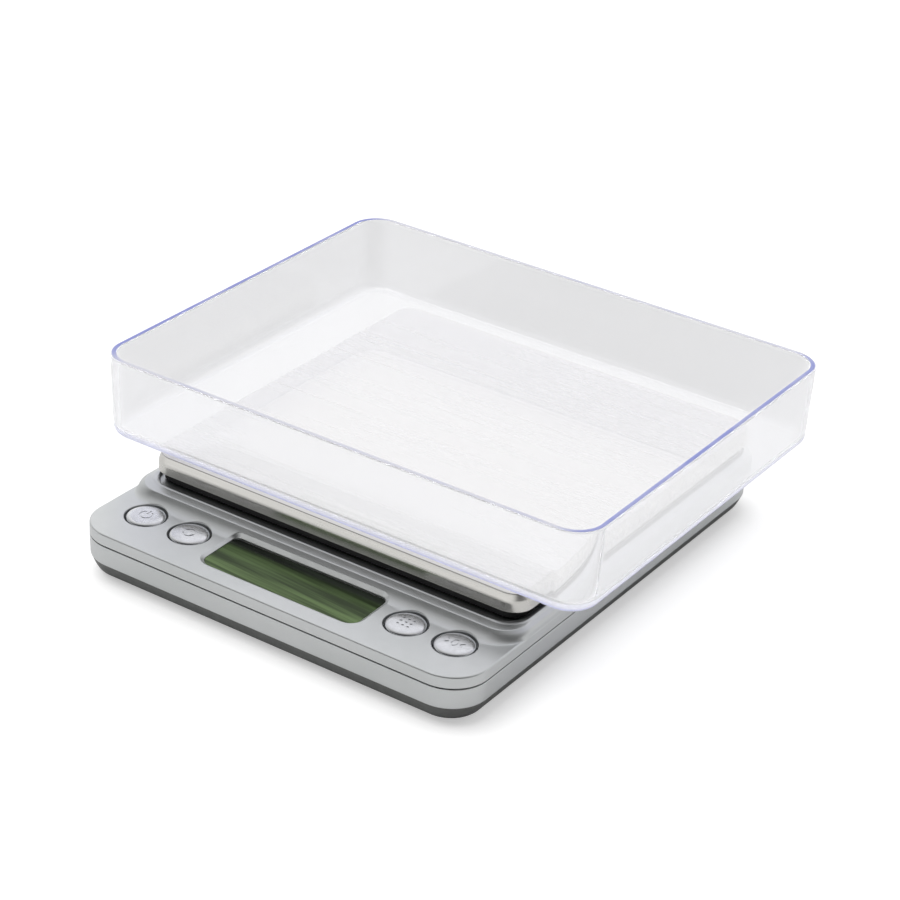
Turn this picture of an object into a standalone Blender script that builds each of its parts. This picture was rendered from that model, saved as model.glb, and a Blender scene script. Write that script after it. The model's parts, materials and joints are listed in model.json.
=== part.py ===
"""Digital gram scale: a low two-part case with four keys and a display, a steel weighing
platform on a load cell, and a clear tray that stands on the platform.

Lengths are metres and +Z is up. Inside the script x and y count from the middle of the case and
z from the floor under the rubber feet. The empty "scale_frame" then moves everything so that the
origin is under the middle of the whole object. +X runs along the display to the right and +Y
runs from the display to the back.
"""

import math

import bmesh
import bpy
from mathutils import Matrix

# Case
CASE_WIDTH = 0.1060
CASE_DEPTH = 0.1275
CASE_RADIUS = 0.0092
UNDERSIDE_Z = 0.0008
FLOOR_Z = 0.0023
PARTING_Z = 0.0098
PARTING_GAP = 0.0003
TOP_Z = 0.0127
TOP_INNER_Z = 0.0111
WALL = 0.0018
CORNER_STEPS = 6

# Raised deck round the platform, joined to the top face by a concave sweep along its front
DECK_FOOT_Y = -0.0479
SWEEP_RADIUS = 0.0044
SWEEP_ANGLE = 57.0
SWEEP_STEPS = 5
DECK_RIM_Z = 0.0153
DECK_INNER_Z = 0.0131
WELL_HALF_X = 0.0503
WELL_FRONT = -0.0413
WELL_BACK = 0.0622
WELL_FLOOR_Z = 0.0142
WELL_RADIUS = 0.0066

# Display
WINDOW_HALF_X = 0.0210
WINDOW_FRONT = -0.0583
WINDOW_BACK = -0.0461
WINDOW_RADIUS = 0.0026
WINDOW_BEVEL = 0.0010
WINDOW_BEVEL_DROP = 0.0006
WINDOW_Y = (WINDOW_FRONT + WINDOW_BACK) / 2
COLLAR_WALL = 0.0004
COLLAR_GAP = 0.00015

# Keys
KEY_Y = -0.0511
KEY_X = {"power": -0.0422, "mode": -0.0296, "count": 0.0296, "tare": 0.0422}
KEY_HOLE_RADIUS = 0.0050
KEY_RADIUS = 0.0046
KEY_TRAVEL = 0.0006
KEY_FLANGE_Z = 0.0108
KEY_BASE_Z = 0.0099
PLUNGER_LOW_Z = 0.0083

# Weighing platform and tray
PAN_HALF = 0.05045
PAN_Y = 0.01105
PAN_RADIUS = 0.0050
PAN_TOP_Z = 0.02115
PAN_EDGE_Z = 0.0168
PAN_SHEET = 0.0005
TRAY_HALF_X = 0.0658
TRAY_HALF_Y = 0.0534
TRAY_Y = 0.01296
TRAY_RADIUS = 0.0077
TRAY_BOTTOM_Z = 0.02145
TRAY_RIM_Z = 0.0418
TRAY_WALL = 0.0016
TRAY_DRAFT = 0.0005
TRAY_FILLET = 0.0024

# Load cell
CELL_LENGTH = 0.0470
CELL_WIDTH = 0.0120
CELL_LOW_Z = 0.0052
CELL_HIGH_Z = 0.0112
CELL_Y = PAN_Y
CELL_SCREW_X = (0.0135, 0.0200)

# Main board
BOARD_LOW_Z = 0.0043
BOARD_HIGH_Z = 0.0055
BOARD_SCREWS = ((-0.0360, -0.0572), (0.0360, -0.0572), (-0.0360, -0.0445), (0.0360, -0.0445))
BOARD_HALF_X = 0.0470
BOARD_FRONT = -0.0603
BOARD_STEP = -0.0412
BOARD_BACK = -0.0290

# Two AAA cells side by side along X, under the back of the deck
BATTERY_RADIUS = 0.00525
BATTERY_LENGTH = 0.0445
BATTERY_NUB = 0.0008
BATTERY_Z = 0.00745
BATTERY_Y = (0.0383, 0.0503)
BATTERY_SHIFT = 0.0020
CONTACT_X = 0.0246
BAY_HALF_X = 0.0254
BAY_FRONT = 0.0327
BAY_BACK = 0.0559
BAY_WALL = 0.0012
BAY_TOP_Z = 0.0109

# Battery door
DOOR_HALF_X = 0.0239
DOOR_FRONT = 0.0333
DOOR_BACK = 0.0553
DOOR_INNER_Z = 0.0019
DOOR_TAB_X = 0.0125
DOOR_TAB_LOW_Z = 0.0026
DOOR_TAB_HIGH_Z = 0.0034

FOOT_RADIUS = 0.0045
FOOT_PLACES = ((-0.0435, -0.0540), (0.0435, -0.0540), (-0.0435, 0.0540), (0.0435, 0.0540))
FOOT_HEIGHT = 0.0014
CASE_SCREWS = ((-0.0460, -0.0360), (0.0460, -0.0360), (-0.0460, 0.0400), (0.0460, 0.0400))
BOSS_SPLIT_Z = 0.0090
GAP = 0.0003

# The tray stands out past the back of the case, so the whole object's middle isn't the case's.
CASE_Y = -(TRAY_Y + TRAY_HALF_Y - CASE_DEPTH / 2) / 2

MATERIALS = {
    "silver_paint": ((0.58, 0.60, 0.61), 0.34, 0.75),
    "stainless_steel": ((0.78, 0.77, 0.74), 0.28, 1.0),
    "clear_plastic": ((0.90, 0.91, 0.96), 0.05, 0.0),
    "plated_key": ((0.82, 0.83, 0.85), 0.18, 1.0),
    "black_plastic": ((0.015, 0.016, 0.017), 0.45, 0.0),
    "display_glass": ((0.30, 0.36, 0.28), 0.10, 0.0),
    "display_film": ((0.10, 0.14, 0.07), 0.12, 0.0),
    "backlight": ((0.55, 0.70, 0.35), 0.40, 0.0),
    "rubber": ((0.03, 0.03, 0.03), 0.80, 0.0),
    "aluminium": ((0.75, 0.76, 0.77), 0.35, 1.0),
    "circuit_board": ((0.03, 0.20, 0.07), 0.45, 0.0),
    "white_plastic": ((0.75, 0.74, 0.70), 0.50, 0.0),
    "screw_steel": ((0.62, 0.62, 0.63), 0.30, 1.0),
    "battery_jacket": ((0.05, 0.16, 0.09), 0.30, 0.2),
    "nickel_contact": ((0.72, 0.70, 0.66), 0.25, 1.0),
    "red_lead": ((0.55, 0.03, 0.02), 0.45, 0.0),
}


def clear_scene():
    for old in list(bpy.data.objects):
        bpy.data.objects.remove(old, do_unlink=True)


def make_materials():
    made = {}
    for name, (colour, roughness, metallic) in MATERIALS.items():
        material = bpy.data.materials.new(name)
        material.use_nodes = True
        shader = material.node_tree.nodes["Principled BSDF"]
        shader.inputs["Base Color"].default_value = (*colour, 1.0)
        shader.inputs["Roughness"].default_value = roughness
        shader.inputs["Metallic"].default_value = metallic
        made[name] = material
    return made


def rounded_rectangle(half_x, front, back, radius, z):
    """Points round a rectangle with rounded corners, anticlockwise seen from above, all at height z."""
    corners = (
        (half_x - radius, back - radius, 0),
        (radius - half_x, back - radius, 90),
        (radius - half_x, front + radius, 180),
        (half_x - radius, front + radius, 270),
    )
    points = []
    for x, y, start in corners:
        for step in range(CORNER_STEPS + 1):
            angle = math.radians(start + 90 * step / CORNER_STEPS)
            points.append((x + radius * math.cos(angle), y + radius * math.sin(angle), z))
    return points


def case_loop(inset, z):
    """The case's outline, drawn in by inset all round."""
    half_depth = CASE_DEPTH / 2 - inset
    return rounded_rectangle(CASE_WIDTH / 2 - inset, -half_depth, half_depth, CASE_RADIUS - inset, z)


def circle(radius, z, steps=24, x=0.0, y=0.0):
    turns = [2 * math.pi * i / steps for i in range(steps)]
    return [(x + radius * math.cos(turn), y + radius * math.sin(turn), z) for turn in turns]


def rectangle(x_low, x_high, y_low, y_high, z):
    return [(x_low, y_low, z), (x_high, y_low, z), (x_high, y_high, z), (x_low, y_high, z)]


def loft(loops):
    """A closed skin through loops of equally many points, with a flat cap on the first and the last."""
    skin = bmesh.new()
    rings = [[skin.verts.new(point) for point in loop] for loop in loops]
    for ring, following in zip(rings, rings[1:]):
        for i, corner in enumerate(ring):
            j = (i + 1) % len(ring)
            skin.faces.new((corner, ring[j], following[j], following[i]))
    skin.faces.new(reversed(rings[0]))
    skin.faces.new(rings[-1])
    bmesh.ops.recalc_face_normals(skin, faces=skin.faces)
    return skin


def closed_ring(loops):
    """A ring-shaped solid: a skin through loops of equally many points, the last joined back to the first."""
    skin = bmesh.new()
    rings = [[skin.verts.new(point) for point in loop] for loop in loops]
    for ring, following in zip(rings, rings[1:] + rings[:1]):
        for i, corner in enumerate(ring):
            j = (i + 1) % len(ring)
            skin.faces.new((corner, ring[j], following[j], following[i]))
    bmesh.ops.recalc_face_normals(skin, faces=skin.faces)
    return skin


def block(x_low, x_high, y_low, y_high, z_low, z_high):
    return loft([rectangle(x_low, x_high, y_low, y_high, z) for z in (z_low, z_high)])


def cylinder(radius, z_low, z_high, x=0.0, y=0.0, steps=24):
    return loft([circle(radius, z, steps, x, y) for z in (z_low, z_high)])


def turned(profile, steps):
    """A solid turned about Z from a profile of (radius, z) points that starts and ends on the axis."""
    skin = bmesh.new()
    top = skin.verts.new((0, 0, profile[0][1]))
    bottom = skin.verts.new((0, 0, profile[-1][1]))
    rings = [[skin.verts.new(point) for point in circle(r, z, steps)] for r, z in profile[1:-1]]
    for i in range(steps):
        j = (i + 1) % steps
        skin.faces.new((top, rings[0][i], rings[0][j]))
        skin.faces.new((bottom, rings[-1][j], rings[-1][i]))
        for ring, following in zip(rings, rings[1:]):
            skin.faces.new((ring[i], following[i], following[j], ring[j]))
    bmesh.ops.recalc_face_normals(skin, faces=skin.faces)
    return skin


def place(name, skin, material, at=(0, 0, 0), parent=None):
    """Makes the object of one piece from its skin, whose points count from the place at."""
    mesh = bpy.data.meshes.new(name)
    skin.to_mesh(mesh)
    skin.free()
    mesh.materials.append(material)
    piece = bpy.data.objects.new(name, mesh)
    bpy.context.scene.collection.objects.link(piece)
    piece.location = at
    piece.parent = parent
    return piece


def combine(piece, operation, skins):
    """Applies an exact Boolean of each skin to a piece that has no parent yet."""
    helpers = []
    for skin in skins:
        mesh = bpy.data.meshes.new("helper")
        skin.to_mesh(mesh)
        skin.free()
        helper = bpy.data.objects.new("helper", mesh)
        bpy.context.scene.collection.objects.link(helper)
        helper.hide_render = True
        helper.display_type = "WIRE"
        modifier = piece.modifiers.new("combine", "BOOLEAN")
        modifier.operation = operation
        modifier.solver = "EXACT"
        modifier.object = helper
        helpers.append(helper)
    graph = bpy.context.evaluated_depsgraph_get()
    result = bpy.data.meshes.new_from_object(piece.evaluated_get(graph))
    piece.modifiers.clear()
    piece.data = result
    for helper in helpers:
        bpy.data.objects.remove(helper, do_unlink=True)


def cut(piece, *skins):
    combine(piece, "DIFFERENCE", skins)


def join(piece, *skins):
    combine(piece, "UNION", skins)


def smooth(piece, angle=32):
    piece.data.shade_smooth()
    piece.data.set_sharp_from_angle(angle=math.radians(angle))


def tube(name, points, radius, material, parent, sides=2):
    """A round wire along a poly-line, with filled ends."""
    curve = bpy.data.curves.new(name, "CURVE")
    curve.dimensions = "3D"
    curve.bevel_depth = radius
    curve.bevel_resolution = sides
    curve.use_fill_caps = True
    spline = curve.splines.new("POLY")
    spline.points.add(len(points) - 1)
    for point, position in zip(spline.points, points):
        point.co = (*position, 1.0)
    curve.materials.append(material)
    piece = bpy.data.objects.new(name, curve)
    bpy.context.scene.collection.objects.link(piece)
    piece.parent = parent
    return piece


def curve_point(a, b, c, d, t):
    """The Catmull-Rom curve from b to c at t, where a and d are the neighbours before and after."""
    square = 2 * a - 5 * b + 4 * c - d
    cube = 3 * b - a - 3 * c + d
    return b + ((c - a) * t + square * t**2 + cube * t**3) / 2


def smooth_route(corners, steps):
    """Points along a Catmull-Rom curve through the route's corners."""
    padded = [corners[0], *corners, corners[-1]]
    points = []
    for four in zip(padded, padded[1:], padded[2:], padded[3:]):
        for step in range(steps):
            points.append([curve_point(*along, step / steps) for along in zip(*four)])
    points.append(corners[-1])
    return points


def top_surface(y):
    """Height of the top face at y: flat in front of the deck, then rising along the sweep."""
    longest = SWEEP_RADIUS * math.sin(math.radians(SWEEP_ANGLE))
    run = min(max(y - DECK_FOOT_Y, 0.0), longest)
    return TOP_Z + SWEEP_RADIUS - math.sqrt(SWEEP_RADIUS**2 - run**2)


# ---------------------------------------------------------------- case


def deck_skin():
    """The raised deck, with the sweep along its front and nearly upright sides and back."""
    half_x, back, radius = CASE_WIDTH / 2 - 0.0005, CASE_DEPTH / 2 - 0.00045, 0.0090
    side_lean, back_lean, corner_lean = 0.0008, 0.0006, 0.0015
    root_z = TOP_Z - 0.0007
    reach = math.sin(math.radians(SWEEP_ANGLE))
    loops = [rounded_rectangle(half_x, DECK_FOOT_Y, back, radius, root_z)]
    for step in range(SWEEP_STEPS + 1):
        run = math.sin(math.radians(SWEEP_ANGLE * step / SWEEP_STEPS))
        share = run / reach
        front = DECK_FOOT_Y + SWEEP_RADIUS * run
        loops.append(
            rounded_rectangle(
                half_x - side_lean * share,
                front,
                back - back_lean * share,
                radius - corner_lean * share,
                top_surface(front),
            )
        )
    half_x, back = half_x - side_lean, back - back_lean
    rim_rise = DECK_RIM_Z - top_surface(front)
    edge_z = DECK_RIM_Z - rim_rise / 6
    loops.append(rounded_rectangle(half_x - 0.0002, front + 0.0003, back - 0.0002, 0.0074, edge_z))
    loops.append(rounded_rectangle(half_x - 0.0006, front + 0.0026, back - 0.0005, 0.0070, DECK_RIM_Z))
    return loft(loops)


def window_loop(growth, z, radius=None):
    """The display opening's outline, grown all round, with a corner radius that grows with it."""
    corner = WINDOW_RADIUS + growth if radius is None else radius
    front, back = WINDOW_FRONT - growth, WINDOW_BACK + growth
    return rounded_rectangle(WINDOW_HALF_X + growth, front, back, corner, z)


def window_skin():
    """Cutter of the display opening. Its bevel follows the height of the top face at the edge."""
    below, above = TOP_INNER_Z - 0.002, TOP_Z + 0.017
    loops = [window_loop(0, below)]
    for level in (-1, 0, 2):
        growth = WINDOW_BEVEL * (level + 1)
        rise = WINDOW_BEVEL_DROP * level
        loops.append([(x, y, top_surface(y) + rise) for x, y, _ in window_loop(growth, 0)])
    loops.append([(x, y, above) for x, y, _ in loops[-1]])
    return loft(loops)


def well_loop(lean, z):
    """Outline of the sunken floor that the platform hangs over."""
    front, back = WELL_FRONT + lean, WELL_BACK - lean
    return rounded_rectangle(WELL_HALF_X - lean, front, back, WELL_RADIUS - lean, z)


def make_upper_shell(paint):
    edge = (
        (0.0, PARTING_Z + PARTING_GAP / 2),
        (0.0, TOP_Z - 0.0004),
        (0.0001, TOP_Z - 0.00012),
        (0.0004, TOP_Z),
    )
    shell = place("upper_shell", loft([case_loop(inset, z) for inset, z in edge]), paint)
    join(shell, deck_skin())

    rebate, rebate_top, below = 0.0005, 0.0107, 0.0090
    cavity = ((rebate, below), (rebate, rebate_top), (WALL, rebate_top), (WALL, TOP_INNER_Z))
    under_deck = [
        rounded_rectangle(0.0500, -0.0410, 0.0616, 0.0060, z)
        for z in (TOP_INNER_Z - 0.0006, DECK_INNER_Z)
    ]
    rim = DECK_RIM_Z + 0.0005
    well = [well_loop(0.0002, WELL_FLOOR_Z), well_loop(0, rim), well_loop(0, rim + 0.004)]
    hollow = loft([case_loop(inset, z) for inset, z in cavity])
    cut(shell, hollow, loft(under_deck), loft(well), window_skin())

    boss_low, post_low = BOSS_SPLIT_Z + GAP, BOARD_HIGH_Z + GAP
    boss_top, post_top = DECK_INNER_Z + 0.0005, TOP_INNER_Z + 0.0005
    join(shell, *[cylinder(0.0030, boss_low, boss_top, x, y, 16) for x, y in CASE_SCREWS])
    join(shell, *[cylinder(0.0023, post_low, post_top, x, y, 16) for x, y in BOARD_SCREWS])
    cut(shell, *[cylinder(0.0016, boss_low - 0.001, 0.0126, x, y, 12) for x, y in CASE_SCREWS])
    cut(shell, *[cylinder(0.0013, post_low - 0.001, 0.0106, x, y, 12) for x, y in BOARD_SCREWS])
    key_holes = [cylinder(KEY_HOLE_RADIUS, 0.0100, 0.0140, x, KEY_Y, 28) for x in KEY_X.values()]
    cut(shell, *key_holes)
    carrier_boss_hole = block(0.0098, 0.0258, CELL_Y - 0.0078, CELL_Y + 0.0078, 0.0120, 0.0150)
    cut(shell, carrier_boss_hole)
    smooth(shell)
    return shell


def make_lower_shell(paint):
    outside = (
        (0.00275, UNDERSIDE_Z),
        (0.00200, 0.00135),
        (0.00135, 0.00230),
        (0.00075, 0.00355),
        (0.00015, 0.00500),
        (0.0, PARTING_Z - PARTING_GAP / 2),
    )
    lip_top = 0.0104
    lip = ((0.0008, PARTING_Z - PARTING_GAP / 2), (0.0008, lip_top), (0.0015, lip_top))
    inside = ((0.0016, 0.0052), (0.0023, 0.0036), (0.0032, FLOOR_Z))
    skin = loft([case_loop(inset, z) for inset, z in (*outside, *lip, *inside)])
    shell = place("lower_shell", skin, paint)

    root = FLOOR_Z - 0.0004
    bay_x, bay_front, bay_back = BAY_HALF_X + BAY_WALL, BAY_FRONT - BAY_WALL, BAY_BACK + BAY_WALL
    bay = block(-bay_x, bay_x, bay_front, bay_back, root, BAY_TOP_Z)
    seat_y = CELL_WIDTH / 2 + 0.0005
    seat = block(-0.0240, -0.0100, CELL_Y - seat_y, CELL_Y + seat_y, root, CELL_LOW_Z - GAP)
    bosses = [cylinder(0.0032, root, BOSS_SPLIT_Z, x, y, 16) for x, y in CASE_SCREWS]
    pads = [cylinder(0.0056, root, FLOOR_Z + 0.0008, x, y, 20) for x, y in FOOT_PLACES]
    join(shell, bay, seat, *bosses, *pads)

    door_x, door_front, door_back = DOOR_HALF_X + GAP, DOOR_FRONT - GAP, DOOR_BACK + GAP
    slots = [
        block(x - 0.0035, x + 0.0035, bay_front - 0.0006, DOOR_FRONT + 0.0002, 0.0024, 0.0046)
        for x in (-DOOR_TAB_X, DOOR_TAB_X)
    ]
    cut(
        shell,
        block(-BAY_HALF_X, BAY_HALF_X, BAY_FRONT, BAY_BACK, FLOOR_Z, BAY_TOP_Z + 0.001),
        block(-door_x, door_x, door_front, door_back, UNDERSIDE_Z - 0.002, FLOOR_Z + 0.002),
        *slots,
        cylinder(0.0070, 0.0, UNDERSIDE_Z + 0.0005, 0, door_back, 24),
    )
    below = UNDERSIDE_Z - 0.002
    sockets = [
        (FOOT_PLACES, FOOT_RADIUS + GAP, below, FOOT_HEIGHT + GAP),
        (CASE_SCREWS, 0.0028, below, 0.0032),
        (CASE_SCREWS, 0.0016, 0.0030, BOSS_SPLIT_Z + 0.001),
        ([(-x, CELL_Y) for x in CELL_SCREW_X], 0.0030, below, 0.0026),
        ([(-x, CELL_Y) for x in CELL_SCREW_X], 0.0018, 0.0024, CELL_LOW_Z),
    ]
    for places, radius, low, high in sockets:
        cut(shell, *[cylinder(radius, low, high, x, y, 16) for x, y in places])
    smooth(shell)
    return shell


def make_feet(rubber):
    edge = 0.0003
    profile = (
        (0, FOOT_HEIGHT),
        (FOOT_RADIUS, FOOT_HEIGHT),
        (FOOT_RADIUS, edge),
        (FOOT_RADIUS - edge, 0),
        (0, 0),
    )
    feet = []
    for name, (x, y) in zip(("front_left", "front_right", "back_left", "back_right"), FOOT_PLACES):
        foot = place(f"foot_{name}", turned(profile, 20), rubber, (x, y, 0))
        smooth(foot)
        feet.append(foot)
    return feet


def screw_skin(head_radius, head_height, shaft_radius, length):
    """A pan-head screw with a square drive recess, standing on its head at z = 0 with the shaft upwards."""
    profile = (
        (0, length),
        (shaft_radius * 0.5, length),
        (shaft_radius, length - shaft_radius),
        (shaft_radius, head_height),
        (head_radius, head_height),
        (head_radius, head_height * 0.4),
        (head_radius * 0.72, 0),
        (head_radius * 0.34, 0),
        (head_radius * 0.26, head_height * 0.5),
        (0, head_height * 0.5),
    )
    return turned(profile, 12)


def make_screws(steel):
    cell_places = [(-x, CELL_Y) for x in CELL_SCREW_X]
    groups = (
        ("case_screw", CASE_SCREWS, 0.0012, (0.0025, 0.0017, 0.0013, 0.0108)),
        ("board_screw", BOARD_SCREWS, 0.0027, (0.0019, 0.0013, 0.0010, 0.0070)),
        ("load_cell_screw", cell_places, 0.0010, (0.0027, 0.0013, 0.0015, 0.0080)),
    )
    screws = []
    for name, places, head_z, sizes in groups:
        for i, (x, y) in enumerate(places):
            screw = place(f"{name}_{i + 1}", screw_skin(*sizes), steel, (x, y, head_z))
            smooth(screw)
            screws.append(screw)
    return screws


# ---------------------------------------------------------------- battery bay


def make_battery_door(paint, frame):
    """The door lies in the underside. Its own origin is on its swing axis, along the outer front edge."""
    axis_y, axis_z = DOOR_FRONT - GAP / 2, UNDERSIDE_Z
    front, back = DOOR_FRONT - axis_y, DOOR_BACK - axis_y
    inner = DOOR_INNER_Z - axis_z
    skin = block(-DOOR_HALF_X, DOOR_HALF_X, front, back, 0, inner)
    door = place("battery_door", skin, paint)
    low, high = DOOR_TAB_LOW_Z - axis_z, DOOR_TAB_HIGH_Z - axis_z
    tabs = []
    for x in (-DOOR_TAB_X, DOOR_TAB_X):
        side, other = x - 0.0030, x + 0.0030
        tabs.append(block(side, other, front + 0.0002, front + 0.0014, inner - 0.0004, high))
        tabs.append(block(side, other, -0.0018, front + 0.0009, low, high - 0.0001))
    ribs = [block(-0.0045, 0.0045, y, y + 0.0006, -0.0002, 0.0003) for y in (0.0145, 0.0160, 0.0175)]
    join(door, *tabs, *ribs)
    slot_x, slot_half = 0.0055, 0.0004
    for x in (-slot_x, slot_x):
        cut(door, block(x - slot_half, x + slot_half, back - 0.0090, back + 0.001, -0.001, 0.002))
    door.location = (0, axis_y, axis_z)
    door.parent = frame
    smooth(door)
    return door


def make_batteries(jacket, frame):
    """Two AAA cells that point opposite ways, turned about their own long axis."""
    profile = (
        (0, BATTERY_LENGTH / 2),
        (0.0018, BATTERY_LENGTH / 2),
        (0.0019, BATTERY_LENGTH / 2 - BATTERY_NUB),
        (BATTERY_RADIUS - 0.0004, BATTERY_LENGTH / 2 - BATTERY_NUB),
        (BATTERY_RADIUS, BATTERY_LENGTH / 2 - BATTERY_NUB - 0.0004),
        (BATTERY_RADIUS, -BATTERY_LENGTH / 2 + 0.0003),
        (BATTERY_RADIUS - 0.0003, -BATTERY_LENGTH / 2),
        (0, -BATTERY_LENGTH / 2),
    )
    for i, (y, sign) in enumerate(zip(BATTERY_Y, (1, -1))):
        at = (sign * BATTERY_SHIFT, y, BATTERY_Z)
        cell = place(f"battery_{i + 1}", turned(profile, 20), jacket, at, frame)
        cell.rotation_euler = (0, sign * math.pi / 2, 0)
        smooth(cell)


def make_contacts(nickel, frame):
    """Plates against the end walls of the bay, and a coil spring at the flat end of each cell."""
    thick, half, low, high = 0.0004, 0.0041, 0.0028, 0.0106
    far = CONTACT_X + thick
    first, second = BATTERY_Y
    bridge = block(-far, -CONTACT_X, first - half, second + half, low, high)
    place("battery_bridge_plate", bridge, nickel, parent=frame)
    for name, y in (("positive", first), ("negative", second)):
        plate = block(CONTACT_X, far, y - half, y + half, low, high)
        place(f"battery_plate_{name}", plate, nickel, parent=frame)
    wire, turns, steps = 0.00035, 3, 9
    flat_end = BATTERY_LENGTH / 2 - BATTERY_SHIFT
    start, end = CONTACT_X - GAP - wire, flat_end + GAP + wire
    for i, (y, sign) in enumerate(zip(BATTERY_Y, (-1, 1))):
        coil = []
        for step in range(turns * steps + 1):
            share = step / (turns * steps)
            radius = 0.0034 - 0.0012 * share
            angle = 2 * math.pi * step / steps
            x = sign * (start + (end - start) * share)
            coil.append((x, y + radius * math.cos(angle), BATTERY_Z + radius * math.sin(angle)))
        tube(f"battery_spring_{i + 1}", coil, wire, nickel, frame, sides=1)


# ---------------------------------------------------------------- display and keypad


def make_display(materials, frame):
    """A black holder lines the opening and carries the display glass, its backlight and its contact strip."""
    fit = COLLAR_GAP
    wall = COLLAR_GAP + COLLAR_WALL
    low, shoulder, top = BOARD_HIGH_Z + GAP, TOP_INNER_Z - 0.0004, TOP_Z - 0.0007
    roof = shoulder - 0.0003
    ring = [
        window_loop(0.0015, low, 0.0008),
        window_loop(0.0023, low, 0.0016),
        window_loop(0.0023, shoulder, 0.0016),
        window_loop(-fit, shoulder),
        window_loop(-fit, top),
        window_loop(-wall, top),
        window_loop(-wall, roof),
        window_loop(0.0015, roof, 0.0008),
    ]
    smooth(place("lcd_holder", closed_ring(ring), materials["black_plastic"], parent=frame))

    ledge, face = 0.0012, -wall - COLLAR_GAP
    glass_low, ledge_z, glass_top = 0.0090, 0.0099, 0.0107
    glass = [
        window_loop(ledge, glass_low, 0.0005),
        window_loop(ledge, ledge_z, 0.0005),
        window_loop(face, ledge_z),
        window_loop(face, glass_top),
    ]
    place("lcd_glass", loft(glass), materials["display_glass"], parent=frame)
    film = loft([window_loop(face, glass_top + rise) for rise in (0.0002, 0.00035)])
    place("lcd_polariser", film, materials["display_film"], parent=frame)
    high = glass_low - GAP
    light = block(-0.0215, 0.0215, WINDOW_Y - 0.0070, WINDOW_Y + 0.0045, low, high)
    place("lcd_backlight", light, materials["backlight"], parent=frame)
    strip = block(-0.0200, 0.0200, WINDOW_Y + 0.0050, WINDOW_Y + 0.0068, low, high)
    place("lcd_contact_strip", strip, materials["rubber"], parent=frame)


def make_main_board(materials, frame):
    """One board under the keys and the display. It narrows behind them to clear the case bosses."""
    corner, narrow_half_x = 0.0030, 0.0400
    outline = [
        (BOARD_HALF_X - corner, BOARD_FRONT),
        (BOARD_HALF_X, BOARD_FRONT + corner),
        (BOARD_HALF_X, BOARD_STEP),
        (narrow_half_x, BOARD_STEP),
        (narrow_half_x, BOARD_BACK),
    ]
    outline += [(-x, y) for x, y in reversed(outline)]
    skin = loft([[(x, y, z) for x, y in outline] for z in (BOARD_LOW_Z, BOARD_HIGH_Z)])
    board = place("main_board", skin, materials["circuit_board"])
    cut(board, *[cylinder(0.0013, 0.003, 0.007, x, y, 12) for x, y in BOARD_SCREWS])
    board.parent = frame

    surface = BOARD_HIGH_Z + GAP
    dome = ((0, 0.0018), (0.0020, 0.0017), (0.0040, 0.0012), (0.0055, 0.0005), (0.0058, 0), (0, 0))
    black = materials["black_plastic"]
    blob = place("controller_blob", turned(dome, 20), black, (-0.0120, -0.0355, surface), frame)
    smooth(blob, 60)
    chip = block(0.0070, 0.0170, -0.0375, -0.0335, surface, surface + 0.0015)
    place("converter_chip", chip, black, parent=frame)


def key_parent(name, frame):
    """An empty on the key's own axis, at the level of the top face."""
    pivot = bpy.data.objects.new(f"key_{name}_axis", None)
    bpy.context.scene.collection.objects.link(pivot)
    pivot.location = (KEY_X[name], KEY_Y, TOP_Z)
    pivot.parent = frame
    return pivot


def make_keys(materials, frame):
    """Each key is a plated cap over the plunger of a tactile switch. The two travel together."""
    flange, flange_z, base = 0.0057, KEY_FLANGE_Z - TOP_Z, KEY_BASE_Z - TOP_Z
    skirt, stem, roof = 0.0037, 0.0017, -0.0010
    cap_profile = (
        (0, 0.00035),
        (0.0016, 0.00032),
        (0.0030, 0.00020),
        (0.0040, 0.00002),
        (0.0044, -0.00014),
        (KEY_RADIUS, -0.00042),
        (KEY_RADIUS, flange_z),
        (flange, flange_z),
        (flange, base),
        (skirt, base),
        (skirt, roof),
        (stem, roof),
        (stem, base),
        (0, base),
    )
    high, low = base - 0.0004, PLUNGER_LOW_Z - TOP_Z
    plunger_profile = ((0, high), (stem, high), (stem, low), (0, low))
    half, body_top = 0.0030, low + 0.0006
    body_low = BOARD_HIGH_Z + GAP - TOP_Z
    hole_floor = low - KEY_TRAVEL - 0.0005
    for name in KEY_X:
        pivot = key_parent(name, frame)
        cap = place(f"key_{name}", turned(cap_profile, 24), materials["plated_key"], parent=pivot)
        smooth(cap)
        plunger = turned(plunger_profile, 14)
        smooth(place(f"plunger_{name}", plunger, materials["black_plastic"], parent=pivot))
        body = block(-half, half, -half, half, body_low, body_top)
        switch = place(f"switch_{name}", body, materials["screw_steel"])
        cut(switch, cylinder(stem + GAP, hole_floor, body_top + 0.001, steps=16))
        switch.parent = pivot


# ---------------------------------------------------------------- load cell, platform, tray


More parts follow.
